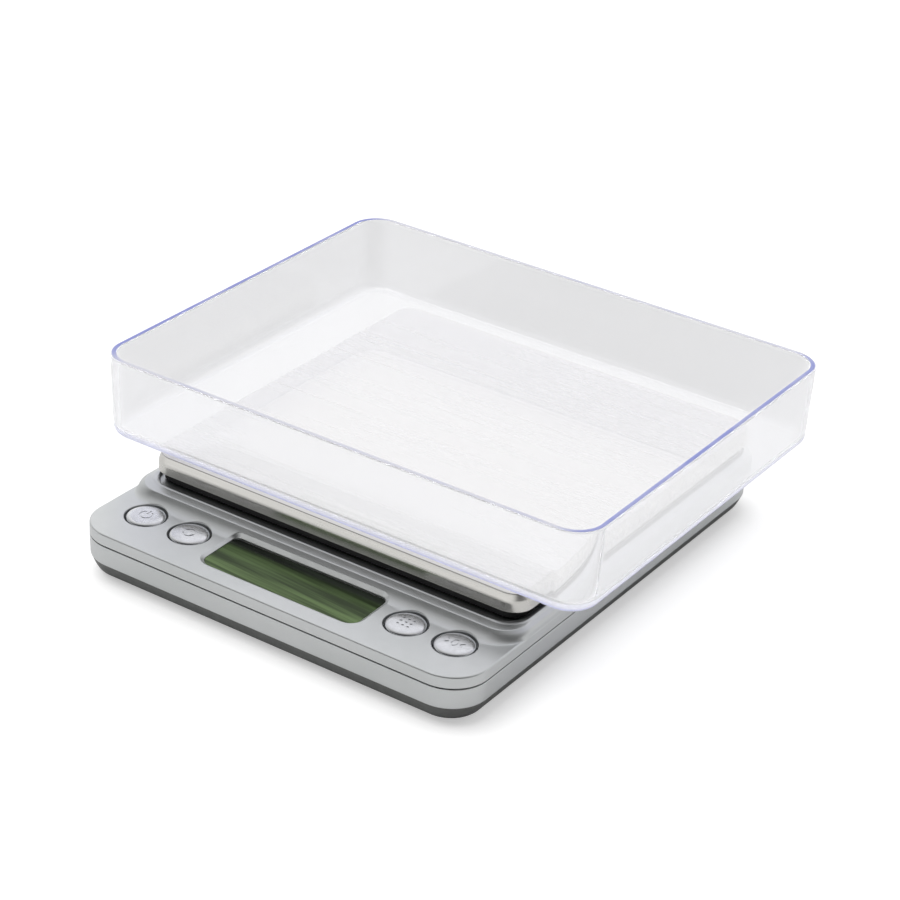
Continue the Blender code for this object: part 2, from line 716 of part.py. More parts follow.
def make_load_cell(materials, frame):
    """An aluminium bending beam, screwed to the case at its left end and to the platform at its
    right end. Two eyes joined by a slot thin its middle, where the gauges sit under their covers."""
    half = CELL_LENGTH / 2
    y_low, y_high = CELL_Y - CELL_WIDTH / 2, CELL_Y + CELL_WIDTH / 2
    body = block(-half, half, y_low, y_high, CELL_LOW_Z, CELL_HIGH_Z)
    beam = place("load_cell", body, materials["aluminium"])
    middle = (CELL_LOW_Z + CELL_HIGH_Z) / 2
    eye_x, eye_radius, slot_half, past = 0.0045, 0.0021, 0.0007, 0.001
    upright_to_along_y = Matrix.Rotation(math.pi / 2, 3, "X")
    eyes = []
    for x in (-eye_x, eye_x):
        eye = cylinder(eye_radius, -CELL_WIDTH, CELL_WIDTH, steps=16)
        bmesh.ops.rotate(eye, verts=eye.verts, cent=(0, 0, 0), matrix=upright_to_along_y)
        bmesh.ops.translate(eye, verts=eye.verts, vec=(x, CELL_Y, middle))
        eyes.append(eye)
    slot = block(-eye_x, eye_x, y_low - past, y_high + past, middle - slot_half, middle + slot_half)
    cut(beam, *eyes, slot)
    low, high = CELL_LOW_Z - past, CELL_HIGH_Z + past
    for x in CELL_SCREW_X:
        cut(beam, *[cylinder(0.0018, low, high, side, CELL_Y, 12) for side in (-x, x)])
    beam.parent = frame
    smooth(beam)
    cover_x, cover_y, thick = 0.0062, 0.0048, 0.0007
    for name, low in (("upper", CELL_HIGH_Z + GAP), ("lower", CELL_LOW_Z - GAP - thick)):
        cover = block(-cover_x, cover_x, CELL_Y - cover_y, CELL_Y + cover_y, low, low + thick)
        place(f"gauge_cover_{name}", cover, materials["white_plastic"], parent=frame)


def platform_loop(half, radius, z):
    return rounded_rectangle(half, PAN_Y - half, PAN_Y + half, radius, z)


def make_platform(materials, frame):
    """The steel pan is stuck with an adhesive sheet to a moulded carrier, and the carrier is
    screwed to the load cell."""
    bend = ((0, -0.00115), (0.0001, -0.00067), (0.00038, -0.00028), (0.0008, -0.00007), (0.0013, 0))
    edge = [(0, PAN_EDGE_Z)] + [(inset, PAN_TOP_Z + drop) for inset, drop in bend]
    widest = bend[-1][0]
    outside = []
    inside = []
    for inset, z in edge:
        outside.append(platform_loop(PAN_HALF - inset, PAN_RADIUS - inset, z))
        share = inset / widest
        within = inset + PAN_SHEET * (1 - 0.8 * share)
        inside.append(platform_loop(PAN_HALF - within, PAN_RADIUS - within, z - PAN_SHEET * share))
    skin = loft([*reversed(inside), *outside])
    smooth(place("platform_pan", skin, materials["stainless_steel"], parent=frame))

    sheet = [platform_loop(PAN_HALF - 0.0050, 0.0040, z) for z in (0.0199, 0.0202)]
    place("pan_adhesive", loft(sheet), materials["white_plastic"], parent=frame)

    half, radius = PAN_HALF - 0.0010, PAN_RADIUS - 0.0010
    top, under, skirt, skirt_wall = 0.0196, 0.0180, 0.0147, 0.0014
    loops = [
        platform_loop(half - skirt_wall - 0.0001, radius - skirt_wall - 0.0001, under),
        platform_loop(half - skirt_wall, radius - skirt_wall, skirt),
        platform_loop(half, radius, skirt),
        platform_loop(half, radius, top),
    ]
    carrier = place("platform_carrier", loft(loops), materials["black_plastic"])
    boss_low, head_seat = CELL_HIGH_Z + GAP, 0.0145
    boss_y = CELL_WIDTH / 2 + 0.0002
    boss = block(0.0110, 0.0245, CELL_Y - boss_y, CELL_Y + boss_y, boss_low, under + 0.0006)
    join(carrier, boss)
    for x in CELL_SCREW_X:
        cut(carrier, cylinder(0.0018, boss_low - 0.001, head_seat + 0.0005, x, CELL_Y, 12))
        cut(carrier, cylinder(0.0030, head_seat, top + 0.001, x, CELL_Y, 16))
    carrier.parent = frame
    smooth(carrier)
    steel = materials["screw_steel"]
    for i, x in enumerate(CELL_SCREW_X):
        skin = screw_skin(0.0027, 0.0015, 0.0015, 0.0102)
        screw = place(f"platform_screw_{i + 1}", skin, steel, (x, CELL_Y, 0.0163), frame)
        screw.rotation_euler = (math.pi, 0, 0)
        smooth(screw)


def tray_loop(inset, z):
    """The tray's outline moved in by an inset, all round."""
    half_y, radius = TRAY_HALF_Y - inset, TRAY_RADIUS - inset
    return rounded_rectangle(TRAY_HALF_X - inset, TRAY_Y - half_y, TRAY_Y + half_y, radius, z)


def tray_fillet(inset, radius, low):
    """Loops round a quarter arc that turns a flat floor at height low up into a side wall."""
    loops = []
    for step in range(5):
        angle = math.radians(90 * step / 4)
        run = inset + radius * (1 - math.sin(angle))
        loops.append(tray_loop(run, low + radius * (1 - math.cos(angle))))
    return loops


def make_tray(clear, frame):
    """The clear tray: a flat floor, drafted walls of even thickness and an open top."""
    draft, wall, edge = TRAY_DRAFT, TRAY_WALL, 0.0002
    rim_side = TRAY_RIM_Z - edge
    rim = ((0, rim_side), (edge, TRAY_RIM_Z), (wall - edge, TRAY_RIM_Z), (wall, rim_side))
    loops = tray_fillet(draft, TRAY_FILLET, TRAY_BOTTOM_Z)
    loops += [tray_loop(inset, z) for inset, z in rim]
    loops += reversed(tray_fillet(draft + wall, TRAY_FILLET - wall / 2, TRAY_BOTTOM_Z + wall))
    smooth(place("tray", loft(loops), clear, parent=frame))


# ---------------------------------------------------------------- wiring


def make_wiring(materials, frame):
    """The load cell's cable, and the two leads from the battery contacts, each run to the main board."""
    board = BOARD_HIGH_Z + 0.0012
    cable = [
        (-0.0060, CELL_Y - 0.0064, 0.0078),
        (-0.0062, CELL_Y - 0.0110, 0.0076),
        (-0.0150, -0.0080, 0.0060),
        (-0.0240, -0.0200, 0.0060),
        (-0.0260, -0.0280, 0.0078),
        (-0.0260, -0.0340, board),
    ]
    black = materials["black_plastic"]
    tube("load_cell_cable", smooth_route(cable, 3), 0.0008, black, frame)
    over = BAY_TOP_Z + 0.0009
    for name, y, lane, material in (
        ("positive", BATTERY_Y[0], 0.0292, "red_lead"),
        ("negative", BATTERY_Y[1], 0.0322, "black_plastic"),
    ):
        lead = [
            (CONTACT_X + 0.0002, y, over + 0.0001),
            (CONTACT_X + 0.0026, y - 0.0004, over),
            (lane - 0.0004, y - 0.0020, 0.0090),
            (lane, y - 0.0060, 0.0050),
            (lane, 0.0100, 0.0040),
            (lane, -0.0150, 0.0040),
            (lane, -0.0250, 0.0052),
            (lane, -0.0320, board),
        ]
        route = smooth_route(lead, 3)
        tube(f"battery_lead_{name}", route, 0.0006, materials[material], frame, sides=1)


def main():
    clear_scene()
    materials = make_materials()
    frame = bpy.data.objects.new("scale_frame", None)
    bpy.context.scene.collection.objects.link(frame)
    frame.location = (0, CASE_Y, 0)

    paint = materials["silver_paint"]
    cased = [make_upper_shell(paint), make_lower_shell(paint)]
    cased += make_feet(materials["rubber"])
    cased += make_screws(materials["screw_steel"])
    for piece in cased:
        piece.parent = frame
    make_battery_door(paint, frame)
    make_batteries(materials["battery_jacket"], frame)
    make_contacts(materials["nickel_contact"], frame)
    make_display(materials, frame)
    make_main_board(materials, frame)
    make_keys(materials, frame)
    make_load_cell(materials, frame)
    make_platform(materials, frame)
    make_tray(materials["clear_plastic"], frame)
    make_wiring(materials, frame)


main()
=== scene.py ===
"""The looks of the digital gram scale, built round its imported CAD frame.

Sizes are millimetres in the case's own frame (x and y from the middle of the case, z from the
table) until place() turns them into the row frame's metres. Heights and outlines follow the CAD
model's with finer rounding. The pan, the well, the deck's rim and the display opening differ
from it by up to a millimetre.
"""

import json
import math

import bmesh
import bpy
from mathutils import Matrix, Vector


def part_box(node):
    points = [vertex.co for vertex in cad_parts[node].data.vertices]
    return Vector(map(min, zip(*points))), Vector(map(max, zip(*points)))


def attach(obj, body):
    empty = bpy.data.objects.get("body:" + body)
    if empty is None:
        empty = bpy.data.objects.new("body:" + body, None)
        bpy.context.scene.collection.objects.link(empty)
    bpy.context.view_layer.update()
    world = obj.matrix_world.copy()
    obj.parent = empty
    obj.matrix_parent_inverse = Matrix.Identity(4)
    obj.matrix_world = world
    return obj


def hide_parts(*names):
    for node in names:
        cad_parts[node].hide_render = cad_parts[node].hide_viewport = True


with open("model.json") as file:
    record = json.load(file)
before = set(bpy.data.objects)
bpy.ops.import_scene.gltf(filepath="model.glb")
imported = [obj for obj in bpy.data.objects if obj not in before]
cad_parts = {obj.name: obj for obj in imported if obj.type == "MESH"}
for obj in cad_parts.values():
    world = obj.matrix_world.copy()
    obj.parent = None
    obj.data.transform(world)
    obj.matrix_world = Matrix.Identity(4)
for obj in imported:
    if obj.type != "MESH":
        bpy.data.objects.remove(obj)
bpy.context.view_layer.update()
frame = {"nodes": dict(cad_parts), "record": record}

MM = 0.001
CASE_LOW, CASE_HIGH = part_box("lower_shell")
CASE_Y = (CASE_LOW.y + CASE_HIGH.y) / 2
TO_ROW = Matrix.Translation((0, CASE_Y, 0)) @ Matrix.Scale(MM, 4)

# Case outline and heights
HALF_X = CASE_HIGH.x / MM
HALF_Y = (CASE_HIGH.y - CASE_LOW.y) / 2 / MM
CASE_RADIUS = 9.2
UNDERSIDE = 0.8
# Faces below this height that look down get a dark grey: painted shade under the case
UNDERSIDE_SHADE_TOP = 4.9
FLOOR = 2.3
PARTING = 9.8
PARTING_GAP = 0.3
TOP = 12.7
TOP_INNER = 11.1
WALL = 1.8
CORNER_STEPS = 14

# Deck round the platform and the sweep in front of it
DECK_FOOT = -47.9
SWEEP_RADIUS = 4.4
SWEEP_ANGLE = 57.0
SWEEP_STEPS = 12
DECK_RIM = 15.12
DECK_INSET = 0.06
DECK_RADIUS = 8.0
DECK_BACK_RADIUS = 9.1
DECK_NARROWING = 2.0
BROW_RADIUS = 1.4
DECK_INNER = 13.1
WELL_HALF_X = 50.4
WELL_FRONT = -41.3
WELL_BACK = 62.2
WELL_RADIUS = 7.0
WELL_FLOOR = 14.2

# Display opening
WINDOW_HALF_X = 21.0
WINDOW_FRONT = -58.3
WINDOW_BACK = -45.4
WINDOW_RADIUS = 2.8
WINDOW_BACK_RADIUS = 1.6
FILM_DROP = 0.66

# Keys
KEY_Y = -51.1
KEY_X = {"power": -42.2, "mode": -29.6, "count": 29.6, "tare": 42.2}
KEY_HOLE = 5.0
KEY_RADIUS = 4.6

# Load cell, platform and tray
CELL_Y = 11.05
CELL_SCREW_X = (13.5, 20.0)
CELL_LOW = 5.2
PAN_HALF = 50.75
PAN_RADIUS = 5.0
PAN_TOP = 21.15
PAN_EDGE = 16.8
PAN_SHEET = 0.5
TRAY_HALF_X = 65.8
TRAY_HALF_Y = 53.4
TRAY_Y = 12.96
TRAY_RADIUS = 7.7
TRAY_BOTTOM = 21.45
TRAY_RIM = 41.8
TRAY_WALL = 1.6
TRAY_DRAFT = 0.5
TRAY_FILLET = 2.4

# Underside
BAY_HALF_X = 25.4
BAY_FRONT = 32.7
BAY_BACK = 55.9
BAY_WALL = 1.2
BAY_TOP = 10.9
DOOR_HALF_X = 23.9
DOOR_FRONT = 33.3
DOOR_BACK = 55.3
DOOR_INNER = 1.9
DOOR_TAB_X = 12.5
CASE_SCREWS = ((-46.0, -36.0), (46.0, -36.0), (-46.0, 40.0), (46.0, 40.0))
FEET = {
    "front_left": (-43.5, -54.0),
    "front_right": (43.5, -54.0),
    "back_left": (-43.5, 54.0),
    "back_right": (43.5, 54.0),
}
FOOT_RADIUS = 4.5
FOOT_HEIGHT = 1.4
BOSS_SPLIT = 9.0
GAP = 0.3

# Battery cells, from their own middle
CELL_HALF_LENGTH = 22.25
CELL_RADIUS = 5.25
CELL_NUB = 0.8
CELL_Z = 7.45
CELL_PLACES = ((2.0, 38.3, 1), (-2.0, 50.3, -1))

# The view: direction to the camera, its tilt, its distance and what it looks at
VIEW_AZIMUTH = 32.87
VIEW_ELEVATION = 28.45
VIEW_ROLL = 3.3
VIEW_DISTANCE = 621.4
VIEW_TARGET = (-9.7, 22.99, 9.8)
FOCAL_LENGTH = 103.1

# Light
TABLE_GLOW = 0.46
SUN_TOWARDS = (-0.30, -0.15, 0.94)
SUN_STRENGTH = 1.9
SUN_SPREAD = 55.0
LIGHT_BOUNCES = 32


# ---------------------------------------------------------------- mesh helpers


def rounded(half_x, front, back, radius, z, steps=CORNER_STEPS, back_radius=None):
    """Points round a rectangle with rounded corners, anticlockwise seen from above."""
    rear = radius if back_radius is None else back_radius
    corners = (
        (half_x - rear, back - rear, rear, 0),
        (rear - half_x, back - rear, rear, 90),
        (radius - half_x, front + radius, radius, 180),
        (half_x - radius, front + radius, radius, 270),
    )
    points = []
    for x, y, radius, start in corners:
        for step in range(steps + 1):
            angle = math.radians(start + 90 * step / steps)
            points.append((x + radius * math.cos(angle), y + radius * math.sin(angle), z))
    return points


def case_loop(inset, z):
    """The case's outline at a height, moved inwards by inset."""
    half_y = HALF_Y - inset
    return rounded(HALF_X - inset, -half_y, half_y, CASE_RADIUS - inset, z)


def circle(radius, z, steps=48, x=0.0, y=0.0):
    """Points round a level circle."""
    turns = [2 * math.pi * i / steps for i in range(steps)]
    return [(x + radius * math.cos(turn), y + radius * math.sin(turn), z) for turn in turns]


def arc(across, up, radius, start, end, steps):
    """Points (across, up) on an arc about a centre, from one angle to another in degrees."""
    points = []
    for step in range(steps + 1):
        angle = math.radians(start + (end - start) * step / steps)
        points.append((across + radius * math.cos(angle), up + radius * math.sin(angle)))
    return points


def loft(loops, ring=False):
    """A closed skin through loops of equally many points: capped, or joined into a ring."""
    skin = bmesh.new()
    rings = [[skin.verts.new(point) for point in loop] for loop in loops]
    following = rings[1:] + (rings[:1] if ring else [])
    for current, after in zip(rings, following):
        for i, corner in enumerate(current):
            j = (i + 1) % len(current)
            skin.faces.new((corner, current[j], after[j], after[i]))
    if not ring:
        skin.faces.new(reversed(rings[0]))
        skin.faces.new(rings[-1])
    bmesh.ops.recalc_face_normals(skin, faces=skin.faces)
    return skin


def turned(profile, steps=64):
    """A solid turned about Z from (radius, z) points that start and end on the axis."""
    skin = bmesh.new()
    first = skin.verts.new((0, 0, profile[0][1]))
    last = skin.verts.new((0, 0, profile[-1][1]))
    rings = [[skin.verts.new(p) for p in circle(r, z, steps)] for r, z in profile[1:-1]]
    for i in range(steps):
        j = (i + 1) % steps
        skin.faces.new((first, rings[0][i], rings[0][j]))
        skin.faces.new((last, rings[-1][j], rings[-1][i]))
        for current, after in zip(rings, rings[1:]):
            skin.faces.new((current[i], after[i], after[j], current[j]))
    bmesh.ops.recalc_face_normals(skin, faces=skin.faces)
    return skin


def block(x_low, x_high, y_low, y_high, z_low, z_high):
    """An upright box."""
    corners = ((x_low, y_low), (x_high, y_low), (x_high, y_high), (x_low, y_high))
    return loft([[(x, y, z) for x, y in corners] for z in (z_low, z_high)])


def cylinder(radius, z_low, z_high, x=0.0, y=0.0, steps=40):
    """An upright cylinder."""
    return loft([circle(radius, z, steps, x, y) for z in (z_low, z_high)])


def moved(skin, x=0.0, y=0.0, z=0.0, turn=0.0, flip=False):
    """The skin turned about Z by an angle in degrees, upside down if asked, then shifted."""
    matrix = Matrix.Translation((x, y, z)) @ Matrix.Rotation(math.radians(turn), 4, "Z")
    if flip:
        matrix = matrix @ Matrix.Rotation(math.pi, 4, "X")
    bmesh.ops.transform(skin, matrix=matrix, verts=skin.verts)
    return skin


def new_object(name, skin):
    """A scene object that takes over a skin."""
    mesh = bpy.data.meshes.new(name)
    skin.to_mesh(mesh)
    skin.free()
    made = bpy.data.objects.new(name, mesh)
    bpy.context.scene.collection.objects.link(made)
    return made


def combine(piece, operation, skins):
    """Applies an exact Boolean of each skin to a piece."""
    helpers = []
    for skin in skins:
        helper = new_object("helper", skin)
        modifier = piece.modifiers.new("combine", "BOOLEAN")
        modifier.operation = operation
        modifier.solver = "EXACT"
        modifier.object = helper
        helpers.append(helper)
    graph = bpy.context.evaluated_depsgraph_get()
    result = bpy.data.meshes.new_from_object(piece.evaluated_get(graph))
    piece.modifiers.clear()
    piece.data = result
    for helper in helpers:
        bpy.data.objects.remove(helper, do_unlink=True)


def cut(piece, *skins):
    combine(piece, "DIFFERENCE", skins)


def join(piece, *skins):
    combine(piece, "UNION", skins)


def place(piece, material, body, slot, *nodes, angle=35):
    """Scales a finished piece into the row frame and ties it to its body and CAD nodes; the slot is
    not used.
    """
    piece.data.transform(TO_ROW)
    piece.data.materials.clear()
    piece.data.materials.append(material)
    piece.data.shade_smooth()
    piece.data.set_sharp_from_angle(angle=math.radians(angle))
    weighted = piece.modifiers.new("flat faces stay flat", "WEIGHTED_NORMAL")
    weighted.keep_sharp = True
    weighted.weight = 60
    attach(piece, body)
    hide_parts(*nodes)
    return piece


# ---------------------------------------------------------------- materials


class Paint:
    """A material with a Principled shader, and short ways to add nodes to it."""

    def __init__(self, name, **sockets):
        self.material = bpy.data.materials.new(name)
        self.material.use_nodes = True
        self.tree = self.material.node_tree
        self.shader = self.tree.nodes["Principled BSDF"]
        for socket, value in sockets.items():
            self.put(self.shader.inputs[socket.replace("_", " ")], value)
        self.where = self.add("TexCoord").outputs["Object"]

    def put(self, socket, value):
        if isinstance(value, bpy.types.NodeSocket):
            self.tree.links.new(value, socket)
        elif isinstance(value, tuple) and len(value) == 3 and socket.type == "RGBA":
            socket.default_value = (*value, 1.0)
        else:
            socket.default_value = value

    def add(self, kind, settings=None, **sockets):
        made = self.tree.nodes.new("ShaderNode" + kind)
        for name, value in (settings or {}).items():
            setattr(made, name, value)
        for name, value in sockets.items():
            self.put(made.inputs[name.replace("_", " ")], value)
        return made

    def stretched(self, scale, turn=(0, 0, 0)):
        """The row frame's position, turned and then scaled along each axis."""
        turned_round = self.add("Mapping", Vector=self.where, Rotation=turn)
        return self.add("Mapping", Vector=turned_round.outputs[0], Scale=scale).outputs[0]

    def noise(self, scale, detail=3.0, vector=None, roughness=0.5):
        made = self.add("TexNoise", Scale=scale, Detail=detail, Roughness=roughness)
        self.put(made.inputs["Vector"], vector or self.where)
        return made.outputs["Fac"]

    def between(self, value, low, high, start=0.3, end=0.7):
        """Value from start to end, spread to run from low to high."""
        made = self.add("MapRange", {"clamp": True})
        made.interpolation_type = "SMOOTHSTEP"
        for index, number in enumerate((value, start, end, low, high)):
            self.put(made.inputs[index], number)
        return made.outputs[0]

    def blend(self, share, first, second):
        made = self.add("Mix", {"data_type": "RGBA"})
        self.put(made.inputs["Factor"], share)
        self.put(made.inputs[6], first)
        self.put(made.inputs[7], second)
        return made.outputs[2]

    def bump(self, height, strength, distance, under=None):
        made = self.add("Bump", Strength=strength, Distance=distance, Height=height)
        if under is not None:
            self.put(made.inputs["Normal"], under)
        return made.outputs[0]

    def use(self, **sockets):
        for socket, value in sockets.items():
            self.put(self.shader.inputs[socket.replace("_", " ")], value)
        return self.material


def silver_paint():
    """Satin metallic paint: flakes, a faint orange peel and slow shifts of tone."""
    paint = Paint("silver_paint", Metallic=0.94, Coat_Weight=0.2, Coat_Roughness=0.12)
    flakes = paint.add("TexVoronoi", Vector=paint.where, Scale=6500.0)
    sparkle = paint.between(flakes.outputs["Distance"], 0.988, 1.012, 0.1, 0.7)
    tone = paint.noise(55.0, 2.0)
    colour = paint.blend(paint.between(tone, 0, 1), (0.672, 0.692, 0.690), (0.705, 0.720, 0.722))
    bright = paint.add("HueSaturation", Color=colour, Value=sparkle)
    peel = paint.bump(paint.noise(900.0, 1.0), 0.01, 0.00005)
    rough = paint.between(paint.noise(420.0, 3.0), 0.36, 0.40)
    return paint.use(Base_Color=bright.outputs[0], Roughness=rough, Normal=peel)


def brushed_steel():
    """Stainless sheet with brush lines along X."""
    steel = Paint("brushed_stainless", Metallic=1.0)
    lines = steel.noise(1.0, 4.0, steel.stretched((45.0, 5200.0, 5200.0)), 0.6)
    broad = steel.noise(1.0, 2.0, steel.stretched((12.0, 600.0, 600.0)))
    tone = steel.blend(steel.between(lines, 0, 1), (0.72, 0.707, 0.675), (0.75, 0.737, 0.705))
    rough = steel.between(broad, 0.23, 0.29)
    scratch = steel.bump(lines, 0.02, 0.00003)
    return steel.use(Base_Color=tone, Roughness=rough, Normal=scratch)


def plated_plastic():
    """Bright plating over plastic, a little uneven."""
    plate = Paint("plated_key", Metallic=1.0)
    wave = plate.noise(420.0, 2.0)
    tone = plate.blend(plate.between(wave, 0, 1), (0.74, 0.75, 0.77), (0.81, 0.82, 0.84))
    rough = plate.between(plate.noise(1800.0, 3.0), 0.19, 0.27)
    fine = plate.bump(plate.noise(5200.0, 2.0), 0.06, 0.00003)
    waves = plate.bump(wave, 0.12, 0.00025, fine)
    return plate.use(Base_Color=tone, Roughness=rough, Normal=waves)


def clear_plastic():
    """Clear polystyrene with a faint painted glow that keeps its haze bright. Thick edges show its
    faint violet; lamps shine through it.
    """
    clear = Paint(
        "clear_tray",
        Base_Color=(0.88, 0.88, 0.885),
        Roughness=0.0,
        IOR=1.57,
        Transmission_Weight=0.87,
        # Painted light: a faint glow that keeps the milky haze bright on walls that face the dark
        # side of the room
        Emission_Color=(1.0, 1.0, 0.99),
        Emission_Strength=0.11,
    )
    flow = clear.noise(1.0, 2.0, clear.stretched((26.0, 26.0, 60.0)))
    clear.use(Normal=clear.bump(flow, 0.02, 0.0006))
    tint = clear.add("VolumeAbsorption", Color=(0.30, 0.33, 0.78), Density=12.0)
    path = clear.add("LightPath").outputs
    open_way = clear.add("BsdfTransparent", Color=(0.96, 0.96, 0.97)).outputs[0]
    glass = clear.shader.outputs[0]

    def choose(factor, otherwise, chosen):
        made = clear.add("MixShader")
        for index, socket in enumerate((path[factor], otherwise, chosen)):
            clear.put(made.inputs[index], socket)
        return made.outputs[0]

    blurred = choose("Is Singular Ray", open_way, glass)
    surface = choose("Is Glossy Ray", glass, blurred)
    surface = choose("Is Diffuse Ray", surface, open_way)
    surface = choose("Is Shadow Ray", surface, open_way)
    output = clear.tree.nodes["Material Output"]
    clear.put(output.inputs["Surface"], surface)
    clear.put(output.inputs["Volume"], tint.outputs[0])
    return clear.material


def tray_edge():
    """The tray's rim: the plastic's violet tint, deepened by painted light piped along the walls,
    strongest along the two sides.
    """
    edge = Paint("tray_edge", Roughness=0.12, IOR=1.5, Coat_Weight=0.3, Coat_Roughness=0.05)
    across = edge.add("SeparateXYZ", Vector=edge.where).outputs[0]
    distance = edge.add("Math", {"operation": "ABSOLUTE"})
    edge.put(distance.inputs[0], across)
    # Painted light: the violet deepens along the two sides, where light carried through the walls
    # gathers; the noise adds random unevenness
    side = edge.between(distance.outputs[0], 0, 1, 0.056, 0.0645)
    uneven = edge.between(edge.noise(70.0, 2.0), -0.25, 0.15)
    tint_and_glow = edge.add("Math", {"operation": "ADD", "use_clamp": True})
    edge.put(tint_and_glow.inputs[0], side)
    edge.put(tint_and_glow.inputs[1], uneven)
    colour = edge.blend(tint_and_glow.outputs[0], (0.62, 0.62, 0.70), (0.20, 0.23, 0.58))
    ripple = edge.bump(edge.noise(600.0, 2.0), 0.1, 0.0001)
    return edge.use(Base_Color=colour, Normal=ripple)


def display_film():
    """The display's dark green polariser with painted light and shade: paler in front, near black
    at the back, with soft streaks along its length.
    """
    film = Paint("display_film", Specular_IOR_Level=0.08, IOR=1.5)
    along = film.stretched((20.0, 480.0, 1.0), (0, 0, math.radians(4)))
    streaks = film.noise(1.0, 3.0, along, 0.55)
    depth = film.add("SeparateXYZ", Vector=film.where).outputs[1]
    front, back = (CASE_Y + y * MM for y in (WINDOW_FRONT, WINDOW_BACK))
    # Painted shade and painted reflection: the film darkens towards the back, under the opening's
    # dark back wall, and stays paler in front, away from it
    lit_front = film.between(depth, 1, 0, front, front + 0.45 * (back - front))
    back_shadow = film.between(depth, 0, 1, front + 0.62 * (back - front), back - 0.1 * (back - front))
    middle = film.blend(lit_front, (0.056, 0.086, 0.035), (0.092, 0.138, 0.057))
    shaded = film.blend(back_shadow, middle, (0.010, 0.013, 0.009))
    dimmed = film.add("HueSaturation", Color=shaded)
    film.put(dimmed.inputs["Value"], film.between(streaks, 0.50, 1.55, 0.35, 0.65))
    texture = film.bump(film.noise(4000.0, 2.0), 0.03, 0.00002)
    rough = film.between(streaks, 0.10, 0.20)
    return film.use(Base_Color=dimmed.outputs[0], Roughness=rough, Normal=texture)


def moulded(name, dark, light, rough, grain=1600.0, depth=0.12, **sockets):
    """Moulded plastic, rubber and the like: a fine grain and a slow shift of tone."""
    paint = Paint(name, **sockets)
    slow = paint.noise(180.0, 3.0)
    colour = paint.blend(paint.between(slow, 0, 1), dark, light)
    fine = paint.bump(paint.noise(grain, 4.0), depth, 0.00005)
    spread = paint.between(paint.noise(700.0, 3.0), rough - 0.05, rough + 0.07)
    return paint.use(Base_Color=colour, Roughness=spread, Normal=fine)


def turned_metal(name, dark, light, rough):
    """Plated or machined metal with fine marks across it."""
    metal = Paint(name, Metallic=1.0)
    marks = metal.noise(1.0, 3.0, metal.stretched((900.0, 5200.0, 900.0)), 0.6)
    colour = metal.blend(metal.between(marks, 0, 1), dark, light)
    spread = metal.between(metal.noise(900.0, 3.0), rough - 0.06, rough + 0.08)
    bump = metal.bump(marks, 0.08, 0.00003)
    return metal.use(Base_Color=colour, Roughness=spread, Normal=bump)


def circuit_board():
    """Green solder mask over thin copper tracks."""
    board = Paint("circuit_board", Coat_Weight=0.4, Coat_Roughness=0.1)
    cells = board.add("TexVoronoi", {"distance": "MANHATTAN", "feature": "F2"})
    board.put(cells.inputs["Vector"], board.where)
    board.put(cells.inputs["Scale"], 420.0)
    tracks = board.between(cells.outputs["Distance"], 0, 1, 0.55, 0.62)
    colour = board.blend(tracks, (0.012, 0.085, 0.030), (0.030, 0.200, 0.070))
    raised = board.bump(tracks, 0.3, 0.00004)
    return board.use(Base_Color=colour, Roughness=0.35, Normal=raised)


MATERIALS = {
    "silver_paint": silver_paint(),
    "stainless_steel": brushed_steel(),
    "clear_plastic": clear_plastic(),
    "plated_key": plated_plastic(),
    "display_film": display_film(),
    "circuit_board": circuit_board(),
    "black_plastic": moulded("black_plastic", (0.012, 0.012, 0.013), (0.020, 0.020, 0.021), 0.42),
    "display_glass": moulded("display_glass", (0.20, 0.26, 0.18), (0.26, 0.32, 0.23), 0.10, 900.0),
    "backlight": moulded("backlight", (0.48, 0.62, 0.30), (0.58, 0.72, 0.38), 0.35),
    "rubber": moulded("rubber", (0.018, 0.018, 0.018), (0.034, 0.034, 0.033), 0.72, 2400.0, 0.35),
    "white_plastic": moulded("white_plastic", (0.68, 0.67, 0.62), (0.78, 0.77, 0.73), 0.5),
    "battery_jacket": moulded("cell_sleeve", (0.015, 0.06, 0.030), (0.03, 0.09, 0.05), 0.22, 500.0),
    "red_lead": moulded("red_lead", (0.42, 0.02, 0.015), (0.56, 0.035, 0.02), 0.4),
    "aluminium": turned_metal("aluminium", (0.66, 0.67, 0.68), (0.80, 0.81, 0.82), 0.32),
    "screw_steel": turned_metal("screw_steel", (0.48, 0.48, 0.49), (0.68, 0.68, 0.70), 0.30),
    "nickel_contact": turned_metal("nickel", (0.60, 0.57, 0.52), (0.78, 0.75, 0.70), 0.24),
}
# Dark grey for the faces under the case and for the battery door: painted shade, standing in for
# the shadow under the case
SHADED_UNDERSIDE = moulded("painted_shade_underside", (0.110, 0.114, 0.110), (0.122, 0.126, 0.122), 0.45)
TRAY_EDGE = tray_edge()
CELL_BAND = moulded("cell_band", (0.50, 0.47, 0.40), (0.60, 0.57, 0.50), 0.25, 500.0, Metallic=0.7)

for part in frame["record"]["subparts"]:
    cad_node = frame["nodes"][part["node"]]
    cad_node.material_slots[0].material = MATERIALS[part["material_slot"]]


# ---------------------------------------------------------------- case


def top_surface(y):
    """Height of the top face at y: flat in front of the deck, then rising along the sweep."""
    longest = SWEEP_RADIUS * math.sin(math.radians(SWEEP_ANGLE))
    run = min(max(y - DECK_FOOT, 0.0), longest)
    return TOP + SWEEP_RADIUS - math.sqrt(SWEEP_RADIUS**2 - run**2)


